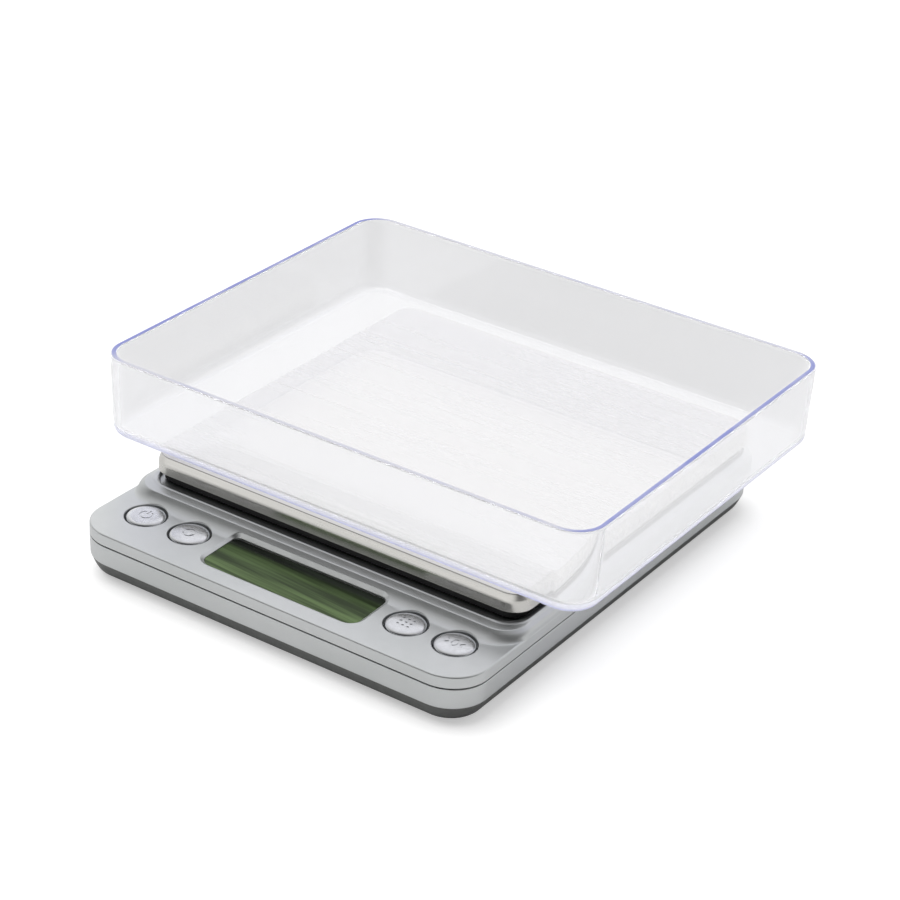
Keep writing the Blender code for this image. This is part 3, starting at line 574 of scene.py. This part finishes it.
def deck():
    """The raised deck: a concave sweep in front, upright sides with a round brow, a lipped rim."""
    half_x, back = HALF_X - DECK_INSET, HALF_Y - DECK_INSET

    def slice_at(front, inset, corner, z):
        rear = DECK_BACK_RADIUS - inset
        return rounded(half_x - inset, front, back - inset, corner, z, back_radius=rear)

    loops = [slice_at(DECK_FOOT, 0.0, DECK_RADIUS, TOP - 0.7)]
    reach = math.sin(math.radians(SWEEP_ANGLE))
    brow = top_surface(DECK_FOOT + SWEEP_RADIUS) + 0.05 - BROW_RADIUS
    for step in range(SWEEP_STEPS + 1):
        run = math.sin(math.radians(SWEEP_ANGLE * step / SWEEP_STEPS))
        front = DECK_FOOT + SWEEP_RADIUS * run
        height = top_surface(front)
        above = max(0.0, height - brow)
        side = BROW_RADIUS - math.sqrt(BROW_RADIUS**2 - above**2)
        loops.append(slice_at(front, side, DECK_RADIUS - DECK_NARROWING * run / reach, height))

    # Round edge, flat cap and the bead round the well: steps in from the sides, back from the
    # front edge and up from the end of the sweep
    inwards = (0.04, 0.08, 0.14, 0.20, 0.35, 0.50, 0.62, 0.80, 0.95, 1.40)
    backwards = (0.05, 0.12, 0.24, 0.46, 1.50, 2.30, 2.45, 2.75, 2.90, 3.60)
    upwards = (0.05, 0.09, 0.12, 0.15, 0.21, 0.25, 0.29, 0.39, 0.42, 0.43)
    for narrower, behind, up in zip(inwards, backwards, upwards):
        corner = DECK_RADIUS - DECK_NARROWING - narrower * 0.5
        loops.append(slice_at(front + behind, side + narrower, corner, height + up))
    return loft(loops)


def opening(outline, profile, low, high):
    """A cutter whose lip follows the top face: profile gives (growth, rise over that face)."""
    loops = [[(x, y, low) for x, y, _ in outline(0)]]
    for growth, rise in profile:
        loops.append([(x, y, top_surface(y) + rise) for x, y, _ in outline(growth)])
    loops.append([(x, y, high) for x, y, _ in loops[-1]])
    return loft(loops)


def window_outline(growth, back_growth=0.0):
    """The display opening's outline, grown outwards."""
    front, back = WINDOW_FRONT - growth, WINDOW_BACK + back_growth
    corner, rear = WINDOW_RADIUS + growth, WINDOW_BACK_RADIUS + growth
    return rounded(WINDOW_HALF_X + growth, front, back, corner, 0, back_radius=rear)


def window_cutter():
    """The display opening: its bevel is shallow in front and stands up where the deck rises."""
    inner, outer = window_outline(0), window_outline(0.8, 0.5)
    foot = [(x, y, TOP - 0.57 + 0.2 * max(0.0, y - DECK_FOOT)) for x, y, _ in inner]
    brow = [(x, y, top_surface(y) - 0.04) for x, y, _ in outer]
    loops = [[(x, y, 9.0) for x, y, _ in inner], [(x, y, z - 0.12) for x, y, z in foot]]
    for share in (0.03, 0.08, 0.5, 0.92, 0.97):
        loops.append([tuple(Vector(a).lerp(b, share)) for a, b in zip(foot, brow)])
    for growth, back, rise in ((0.88, 0.58, -0.01), (0.98, 0.68, 0.03), (1.1, 0.83, 0.3)):
        outline = window_outline(growth, back)
        loops.append([(x, y, top_surface(y) + rise) for x, y, _ in outline])
    loops.append([(x, y, 30.0) for x, y, _ in loops[-1]])
    return loft(loops)


def well_loop(growth, z):
    """The well's outline at a height, grown outwards."""
    front, back = WELL_FRONT - growth, WELL_BACK + growth
    return rounded(WELL_HALF_X + growth, front, back, WELL_RADIUS + growth, z)


def make_case_top():
    """The upper shell: deck, well, display opening, key holes and the hollow inside."""
    edge = arc(0.12, PARTING + PARTING_GAP / 2 + 0.12, 0.12, 270, 180, 3)
    edge += arc(0.42, TOP - 0.42, 0.42, 180, 90, 6)
    piece = new_object("case_top", loft([case_loop(inset, z) for inset, z in edge]))
    join(piece, deck())

    rebate, rebate_top, below = 0.5, 10.7, 9.0
    inside = ((rebate, below), (rebate, rebate_top), (WALL, rebate_top), (WALL, TOP_INNER))
    hollow = loft([case_loop(inset, z) for inset, z in inside])
    under_deck = loft([rounded(50.0, -41.0, 61.6, 6.0, z) for z in (10.5, DECK_INNER)])
    lip = [(-0.2, WELL_FLOOR + 0.15), (0.0, DECK_RIM - 0.24)]
    lip += [(0.25 + across, up) for across, up in arc(0, DECK_RIM - 0.24, 0.25, 180, 100, 5)]
    lip += [(0.4, DECK_RIM + 0.1), (0.7, DECK_RIM + 0.8)]
    floor_edge = [well_loop(-0.35, WELL_FLOOR)]
    well = loft(floor_edge + [well_loop(growth, z) for growth, z in lip])
    cut(piece, hollow, under_deck, well)

    window = window_cutter()
    round_lip = ((0, -0.2), (0.03, -0.1), (0.10, -0.03), (0.22, 0.01), (0.4, 0.2), (0.5, 0.6))
    key_holes = []
    for x in KEY_X.values():

        def hole(growth, x=x):
            return circle(KEY_HOLE + growth, 0, 64, x, KEY_Y)

        key_holes.append(opening(hole, round_lip, 10.0, 20.0))
    boss_hole = block(9.8, 25.8, CELL_Y - 7.8, CELL_Y + 7.8, 12.0, 15.0)
    cut(piece, window, *key_holes, boss_hole)
    place(piece, MATERIALS["silver_paint"], "base", "silver_paint", "upper_shell")


def make_case_bottom():
    """The lower shell: battery bay, screw bosses, foot seats and an underside darkened with painted
    shade.
    """
    low_edge = PARTING - PARTING_GAP / 2
    outside = [(3.4, UNDERSIDE), (2.95, 0.83), (2.6, 0.95), (2.25, 1.17), (1.9, 1.48)]
    outside += [(1.62, 1.85), (1.35, 2.3), (1.12, 2.76), (0.9, 3.24), (0.68, 3.74)]
    outside += [(0.45, 4.3), (0.2, 4.88), (0.15, 5.0), (0.125, 5.12), (0.0, 9.4)]
    outside += arc(0.12, low_edge - 0.12, 0.12, 180, 90, 3)
    lip = [(0.8, low_edge), (0.8, 10.4), (1.5, 10.4)]
    inside = [(1.6, 5.2), (2.3, 3.6), (3.2, FLOOR)]
    loops = [case_loop(inset, z) for inset, z in (*outside, *lip, *inside)]
    piece = new_object("case_bottom", loft(loops))

    root, below = FLOOR - 0.4, UNDERSIDE - 2
    bay_x, bay_front, bay_back = BAY_HALF_X + BAY_WALL, BAY_FRONT - BAY_WALL, BAY_BACK + BAY_WALL
    seat = block(-24.0, -10.0, CELL_Y - 6.5, CELL_Y + 6.5, root, CELL_LOW - GAP)
    bosses = [cylinder(3.2, root, BOSS_SPLIT, x, y) for x, y in CASE_SCREWS]
    pads = [cylinder(5.6, root, FLOOR + 0.8, x, y) for x, y in FEET.values()]
    join(piece, block(-bay_x, bay_x, bay_front, bay_back, root, BAY_TOP), seat, *bosses, *pads)

    door_x, door_front, door_back = DOOR_HALF_X + GAP, DOOR_FRONT - GAP, DOOR_BACK + GAP
    slots = [
        block(x - 3.5, x + 3.5, bay_front - 0.6, DOOR_FRONT + 0.2, 2.4, 4.6)
        for x in (-DOOR_TAB_X, DOOR_TAB_X)
    ]
    recess = loft([rounded(door_x, door_front, door_back, 0.9, z, 5) for z in (below, FLOOR + 2)])
    scoop = [(7.0 - 3.5 * up, UNDERSIDE - 0.3 + up) for up in (-0.5, 0.3, 0.5, 0.65)]
    finger = loft([circle(radius, z, 48, 0, door_back) for radius, z in scoop])
    bay = block(-BAY_HALF_X, BAY_HALF_X, BAY_FRONT, BAY_BACK, FLOOR, BAY_TOP + 1)
    cut(piece, bay, recess, *slots, finger)

    cell_screws = [(-x, CELL_Y) for x in CELL_SCREW_X]
    sockets = (
        (FEET.values(), FOOT_RADIUS + GAP, below, FOOT_HEIGHT + GAP),
        (CASE_SCREWS, 2.8, below, 3.2),
        (CASE_SCREWS, 1.6, 3.0, BOSS_SPLIT + 1),
        (cell_screws, 3.0, below, 2.6),
        (cell_screws, 1.8, 2.4, CELL_LOW),
    )
    for places, radius, low, high in sockets:
        cut(piece, *[cylinder(radius, low, high, x, y) for x, y in places])
    place(piece, MATERIALS["silver_paint"], "base", "silver_paint", "lower_shell")
    # Faces low on the shell that look down get a dark grey: painted shade for the shadowed floor
    # under the case, which they reflect
    piece.data.materials.append(SHADED_UNDERSIDE)
    for face in piece.data.polygons:
        if face.center.z < UNDERSIDE_SHADE_TOP * MM and face.normal.z < 0.2:
            face.material_index = 1


def make_film():
    """The display film: a raised middle with a thin flange that covers the holder's edge."""
    inner, high, top = -0.75, TOP - FILM_DROP, TOP - FILM_DROP + 0.06
    steps = ((inner, 10.9), (inner, high), (-0.06, high), (-0.06, top - 0.02), (-0.08, top))
    outlines = [(window_outline(growth, growth), z) for growth, z in steps]
    loops = [[(x, y, z) for x, y, _ in outline] for outline, z in outlines]
    piece = new_object("display_film", loft(loops))
    place(piece, MATERIALS["display_film"], "base", "display_film", "lcd_polariser")


def make_feet():
    """Rubber feet with rings moulded into the sole."""
    bottom_edge = arc(FOOT_RADIUS - 0.35, 0.35, 0.35, 0, -90, 5)
    grooves = [(3.3, 0), (3.2, 0.12), (2.9, 0.12), (2.8, 0), (1.6, 0), (1.5, 0.12)]
    grooves += [(1.2, 0.12), (1.1, 0), (0, 0)]
    profile = [(0, FOOT_HEIGHT), (FOOT_RADIUS, FOOT_HEIGHT), *bottom_edge, *grooves]
    for name, (x, y) in FEET.items():
        piece = new_object(f"rubber_foot_{name}", moved(turned(profile), x, y))
        place(piece, MATERIALS["rubber"], "base", "rubber", f"foot_{name}")


def cross_head(name, radius, height, shaft, length, drive):
    """A pan-head screw with a cross recess, standing on its head at z = 0."""
    dome = arc(radius - height * 0.55, height * 0.55, height * 0.55, -8, -90, 6)
    profile = [(0, length), (shaft * 0.5, length), (shaft, length - shaft), (shaft, height)]
    profile += [(radius, height), *dome, (0, 0)]
    piece = new_object(name, turned(profile, 48))
    arms = []
    for turn in (45, 135):
        wide, narrow = drive, drive * 0.45
        depth = height * 0.6
        loops = []
        for half, across, z in ((wide, 0.34, -0.2), (wide, 0.32, 0.0), (narrow, 0.24, depth)):
            corners = ((-half, -across), (half, -across), (half, across), (-half, across))
            loops.append([(x, y, z) for x, y in corners])
        arms.append(moved(loft(loops), turn=turn))
    cut(piece, *arms)
    return piece


def make_screws():
    """The screws that show in the underside."""
    for i, (x, y) in enumerate(CASE_SCREWS):
        name = f"case_screw_{i + 1}"
        piece = cross_head("cross_" + name, 2.5, 1.7, 1.3, 10.8, 1.45)
        piece.data.transform(Matrix.Translation((x, y, 1.2)))
        place(piece, MATERIALS["screw_steel"], "base", "screw_steel", name)
    for i, x in enumerate(CELL_SCREW_X):
        name = f"load_cell_screw_{i + 1}"
        piece = cross_head("cross_" + name, 2.7, 1.3, 1.5, 8.0, 1.5)
        piece.data.transform(Matrix.Translation((-x, CELL_Y, 1.0)))
        place(piece, MATERIALS["screw_steel"], "base", "screw_steel", name)


def make_door():
    """The battery door: hinge tabs, finger ribs, a snap tongue and an arrow."""
    edge = [(0.35, UNDERSIDE)] + arc(0.2, UNDERSIDE + 0.2, 0.2, 250, 180, 3)
    edge += [(0, DOOR_INNER)]
    loops = [
        rounded(DOOR_HALF_X - inset, DOOR_FRONT + inset, DOOR_BACK - inset, 0.8 - inset, z, 5)
        for inset, z in edge
    ]
    piece = new_object("door_panel", loft(loops))
    tabs = []
    for x in (-DOOR_TAB_X, DOOR_TAB_X):
        front = DOOR_FRONT
        tabs.append(block(x - 3, x + 3, front + 0.2, front + 1.4, DOOR_INNER - 0.4, 3.4))
        tabs.append(block(x - 3, x + 3, front - 1.95, front + 0.9, 2.6, 3.3))
    ribs = []
    for y in (47.65, 49.15, 50.65):
        loops = [
            rounded(4.5 - inset, y + inset, y + 0.6 - inset, 0.28 - inset, z, 3)
            for inset, z in ((0.12, 0.6), (0.0, 0.72), (0.0, 1.1))
        ]
        ribs.append(loft(loops))
    join(piece, *tabs, *ribs)
    slots = [block(x - 0.4, x + 0.4, DOOR_BACK - 9, DOOR_BACK + 1, -1, 4) for x in (-5.5, 5.5)]
    arrow = [(-1.6, 44.9), (0.0, 43.1), (1.6, 44.9)]
    mark = loft([[(x, y, z) for x, y in arrow] for z in (0.0, UNDERSIDE + 0.2)])
    cut(piece, *slots, mark)
    # The whole door faces the floor and takes the underside's dark grey: painted shade
    place(piece, SHADED_UNDERSIDE, "battery_door", "silver_paint", "battery_door")


def make_cells():
    """The battery cells, with a metal nub and end and a plain two-coloured sleeve."""
    half, radius = CELL_HALF_LENGTH, CELL_RADIUS
    profile = [(0, half), (1.6, half), (1.85, half - 0.15), (1.9, half - CELL_NUB)]
    profile += [(3.6, half - CELL_NUB), (3.8, half - CELL_NUB - 0.15), (4.0, half - CELL_NUB)]
    profile += arc(radius - 0.5, half - CELL_NUB - 0.5, 0.5, 90, 0, 4)
    profile += [(radius, half * 0.42), (radius - 0.02, half * 0.40), (radius - 0.02, 0.3 - half)]
    profile += [(radius - 0.3, 0.05 - half), (radius - 0.9, -half), (0, -half)]
    steel = MATERIALS["nickel_contact"]
    for i, (x, y, sign) in enumerate(CELL_PLACES):
        skin = turned(profile)
        for face in skin.faces:
            middle = face.calc_center_median()
            on_end = middle.xy.length < 3.9 if middle.z > 0 else middle.z < 0.1 - half
            face.material_index = 2 if on_end else int(middle.z > half * 0.4)
        lay_down = Matrix.Rotation(sign * math.pi / 2, 4, "Y")
        stand = Matrix.Translation((x, y, CELL_Z)) @ lay_down
        bmesh.ops.transform(skin, matrix=stand, verts=skin.verts)
        piece = new_object(f"cell_{i + 1}", skin)
        place(piece, MATERIALS["battery_jacket"], "base", "battery_jacket", f"battery_{i + 1}")
        piece.data.materials.append(CELL_BAND)
        piece.data.materials.append(steel)


# ---------------------------------------------------------------- keys


def bar(x, y, length, width, turn=0.0, steps=6):
    """A flat bar with round ends, as an outline."""
    points = []
    for side, start in ((1, -90), (-1, 90)):
        for step in range(steps + 1):
            angle = math.radians(start + 180 * step / steps)
            along = side * (length - width) / 2 + math.cos(angle) * width / 2
            points.append((along, math.sin(angle) * width / 2))
    c, s = math.cos(math.radians(turn)), math.sin(math.radians(turn))
    return [(x + c * u - s * v, y + s * u + c * v) for u, v in points]


def band(x, y, radius, width, start, end, steps=28, squeeze=1.0):
    """Part of a ring from one angle to another, as an outline."""
    points = []
    for reach, first, last in ((radius + width / 2, start, end), (radius - width / 2, end, start)):
        for step in range(steps + 1):
            angle = math.radians(first + (last - first) * step / steps)
            points.append((x + squeeze * reach * math.cos(angle), y + reach * math.sin(angle)))
    return points


MARK_WIDTH = 0.34
MARK_FLOOR = 0.16
KEY_MARKS = {
    "power": [band(0, 0, 1.5, MARK_WIDTH, 120, 420), bar(0, 1.05, 1.7, MARK_WIDTH, 90)],
    "mode": [
        band(0, 0, 1.45, MARK_WIDTH, 25, 150),
        band(0, 0, 1.45, MARK_WIDTH, 205, 330),
        [(-1.95, 0.85), (-0.65, 0.85), (-1.3, -0.05)],
        [(1.95, -0.85), (0.65, -0.85), (1.3, 0.05)],
    ],
    "count": [bar(x, y, 0.62, 0.6) for x in (-1.3, 0.0, 1.3) for y in (-1.3, 0.0, 1.3)],
    "tare": [
        band(0, 0, 1.15, MARK_WIDTH, 0, 179.9, squeeze=0.62),
        band(0, 0, 1.15, MARK_WIDTH, 180, 359.9, squeeze=0.62),
        bar(-1.75, 0.42, 1.15, MARK_WIDTH, -45),
        bar(-1.75, -0.42, 1.15, MARK_WIDTH, 45),
        bar(1.75, 0.42, 1.15, MARK_WIDTH, 45),
        bar(1.75, -0.42, 1.15, MARK_WIDTH, -45),
    ],
}


def prism(outline, low, high):
    """An outline raised into an upright solid."""
    return loft([[(x, y, z) for x, y in outline] for z in (low, high)])


def make_keys():
    """Plated caps with sunk generic marks: power, change of unit, a batch of parts and zero."""
    profile = [(0, 0.30), (0.8, 0.297), (1.6, 0.288), (2.3, 0.272), (2.9, 0.25), (3.4, 0.222)]
    profile += [(3.8, 0.18), (4.05, 0.125), (4.22, 0.05), (4.36, -0.05), (4.47, -0.17)]
    profile += [(4.55, -0.32), (KEY_RADIUS, -0.5), (KEY_RADIUS, 10.8 - TOP), (5.7, 10.8 - TOP)]
    profile += [(5.7, 9.9 - TOP), (3.7, 9.9 - TOP), (3.7, -1.0), (1.7, -1.0)]
    profile += [(1.7, 9.9 - TOP), (0, 9.9 - TOP)]
    for name, x in KEY_X.items():
        piece = new_object(f"cap_{name}", turned(profile, 80))
        cut(piece, *[prism(mark, MARK_FLOOR, 2.0) for mark in KEY_MARKS[name]])
        piece.data.transform(Matrix.Translation((x, KEY_Y, TOP)))
        place(piece, MATERIALS["plated_key"], f"{name}_key", "plated_key", f"key_{name}")


# ---------------------------------------------------------------- platform and tray


def pan_loop(inset, z):
    """The pan's outline at a height, moved inwards by inset."""
    half = PAN_HALF - inset
    return rounded(half, CELL_Y - half, CELL_Y + half, PAN_RADIUS - inset, z)


def make_pan():
    """The steel pan: a sheet folded down all round, with a soft bend and a cut lower edge."""
    barrel, upright, bend, lean = 3.0, 18.75, 0.27, 19
    outside = [(0.12, PAN_EDGE), (0.0, PAN_EDGE + 0.1)]
    outside += arc(barrel, upright, barrel, 180, 180 - lean, 6)
    slope = math.radians(lean)
    high = PAN_TOP - bend * (1 - math.sin(slope))
    shoulder = outside[-1][0] + (high - outside[-1][1]) * math.tan(slope)
    outside.append((shoulder, high))
    across = shoulder + bend * math.cos(slope)
    outside += arc(across, PAN_TOP - bend, bend, 180 - lean, 90, 6)[1:]
    inside = [(across + 0.5, PAN_TOP - PAN_SHEET), (across, PAN_TOP - PAN_SHEET)]
    inside += [(shoulder + PAN_SHEET, high - PAN_SHEET), (PAN_SHEET + 0.06, upright + 0.6)]
    inside += [(PAN_SHEET, PAN_EDGE + 0.1), (PAN_SHEET - 0.12, PAN_EDGE)]
    loops = [pan_loop(inset, z) for inset, z in (*inside, *outside)]
    piece = new_object("steel_pan", loft(loops))
    place(piece, MATERIALS["stainless_steel"], "platform", "stainless_steel", "platform_pan")


def tray_loop(inset, z):
    """The tray's outline at a height, moved inwards by inset."""
    half_y = TRAY_HALF_Y - inset
    radius = TRAY_RADIUS - inset
    return rounded(TRAY_HALF_X - inset, TRAY_Y - half_y, TRAY_Y + half_y, radius, z, 20)


def make_tray():
    """The clear tray: a flat floor with filleted edges, drafted walls and a rounded rim."""
    draft, wall, fillet, steps, edge = TRAY_DRAFT, TRAY_WALL, TRAY_FILLET, 10, 0.5
    floor = TRAY_BOTTOM + wall
    profile = arc(draft + fillet, TRAY_BOTTOM + fillet, fillet, 270, 180, steps)
    profile += arc(edge, TRAY_RIM - edge, edge, 180, 90, 4)
    profile += arc(wall - edge, TRAY_RIM - edge, edge, 90, 0, 4)
    inner = fillet - wall / 2
    profile += arc(draft + wall + inner, floor + inner, inner, 180, 270, steps)
    piece = new_object("clear_tray", loft([tray_loop(inset, z) for inset, z in profile]))
    place(piece, MATERIALS["clear_plastic"], "tray", "clear_plastic", "tray", angle=60)
    piece.data.materials.append(TRAY_EDGE)
    rim_low = (TRAY_RIM - 0.1 * edge) * MM
    for face in piece.data.polygons:
        if face.center.z > rim_low:
            face.material_index = 1


# ---------------------------------------------------------------- stage, light and camera


def make_stage():
    """A plain white table top, much larger than the view."""
    half = 6.0
    mesh = bpy.data.meshes.new("table_top")
    corners = [(-half, -half, 0), (half, -half, 0), (half, half, 0), (-half, half, 0)]
    mesh.from_pydata(corners, [], [(0, 1, 2, 3)])
    table = bpy.data.objects.new("table_top", mesh)
    bpy.context.scene.collection.objects.link(table)
    white = Paint("white_table", Roughness=0.9, Specular_IOR_Level=0.1)
    tone = white.blend(white.noise(3.0, 2.0), (0.70, 0.70, 0.70), (0.72, 0.72, 0.72))
    mesh.materials.append(white.use(Base_Color=tone))
    glow = white.add("Emission", Strength=TABLE_GLOW).outputs[0]
    sheet = white.add("AddShader")
    white.put(sheet.inputs[0], white.shader.outputs[0])
    white.put(sheet.inputs[1], glow)
    seen = white.add("MixShader")
    pair = (white.add("LightPath").outputs["Is Camera Ray"], white.shader.outputs[0])
    for index, socket in enumerate((*pair, sheet.outputs[0])):
        white.put(seen.inputs[index], socket)
    white.put(white.tree.nodes["Material Output"].inputs["Surface"], seen.outputs[0])


def make_sun(name, towards, strength, spread):
    """A far soft lamp that shines from the direction towards."""
    lamp = bpy.data.lights.new(name, "SUN")
    lamp.energy = strength
    lamp.angle = math.radians(spread)
    made = bpy.data.objects.new(name, lamp)
    made.rotation_euler = Vector(towards).to_track_quat("Z", "Y").to_euler()
    made.visible_glossy = False
    bpy.context.scene.collection.objects.link(made)


def make_world():
    """A bright studio with a darker room on the side that faces the keys."""
    world = bpy.data.worlds.new("studio")
    bpy.context.scene.world = world
    world.use_nodes = True
    tree = world.node_tree
    background = tree.nodes["Background"]

    def add(kind, **sockets):
        made = tree.nodes.new("ShaderNode" + kind)
        for name, value in sockets.items():
            if isinstance(value, bpy.types.NodeSocket):
                tree.links.new(value, made.inputs[name])
            else:
                made.inputs[name].default_value = value
        return made

    direction = add("TexCoord").outputs["Generated"]

    def towards(x, y, z, start, end, low, high):
        """Light that changes from low to high as a direction turns towards (x, y, z)."""
        dot = tree.nodes.new("ShaderNodeVectorMath")
        dot.operation = "DOT_PRODUCT"
        tree.links.new(direction, dot.inputs[0])
        dot.inputs[1].default_value = Vector((x, y, z)).normalized()
        ramp = tree.nodes.new("ShaderNodeMapRange")
        tree.links.new(dot.outputs["Value"], ramp.inputs[0])
        for socket, number in zip(ramp.inputs[1:5], (start, end, low, high)):
            socket.default_value = number
        return ramp.outputs[0]

    def calculate(operation, first, second):
        made = tree.nodes.new("ShaderNodeMath")
        made.operation = operation
        tree.links.new(first, made.inputs[0])
        tree.links.new(second, made.inputs[1])
        return made.outputs[0]

    backdrop = towards(-0.3, 0.9, 0.3, -0.30, 0.95, 0.05, 1.05)
    low_down = towards(0, 0, 1, 0.16, 0.32, 1.0, 0.0)
    in_front = towards(-0.25, -1, 0, 0.35, 0.75, 0.0, 1.0)
    front_light = calculate("MULTIPLY", low_down, in_front)
    total = calculate("ADD", backdrop, front_light)
    tree.links.new(total, background.inputs["Strength"])
    background.inputs["Color"].default_value = (1.0, 1.0, 1.0, 1.0)


def make_camera():
    """The camera, tilted a little about its own axis."""
    azimuth, elevation = math.radians(VIEW_AZIMUTH), math.radians(VIEW_ELEVATION)
    level = math.cos(elevation)
    towards_camera = (math.sin(azimuth) * level, -math.cos(azimuth) * level, math.sin(elevation))
    back = Vector(towards_camera)
    across = Vector((0, 0, 1)).cross(back).normalized()
    up = back.cross(across)
    roll = math.radians(VIEW_ROLL)
    right = math.cos(roll) * across + math.sin(roll) * up
    top = -math.sin(roll) * across + math.cos(roll) * up
    target = TO_ROW @ Vector(VIEW_TARGET)
    lens = bpy.data.cameras.new("camera")
    lens.lens = FOCAL_LENGTH
    lens.sensor_width = 36.0
    camera = bpy.data.objects.new("camera", lens)
    turn = Matrix((right, top, back)).transposed().to_4x4()
    camera.matrix_world = Matrix.Translation(target + back * VIEW_DISTANCE * MM) @ turn
    bpy.context.scene.collection.objects.link(camera)
    bpy.context.scene.camera = camera


make_camera()
make_case_top()
make_case_bottom()
make_film()
make_feet()
make_screws()
make_door()
make_cells()
make_keys()
make_pan()
make_tray()
make_stage()
make_world()
make_sun("overhead_softbox", SUN_TOWARDS, SUN_STRENGTH, SUN_SPREAD)
scene = bpy.context.scene
scene.view_settings.view_transform = "Standard"
scene.cycles.max_bounces = LIGHT_BOUNCES
scene.cycles.transmission_bounces = LIGHT_BOUNCES
scene.cycles.glossy_bounces = 6
scene.cycles.transparent_max_bounces = 24
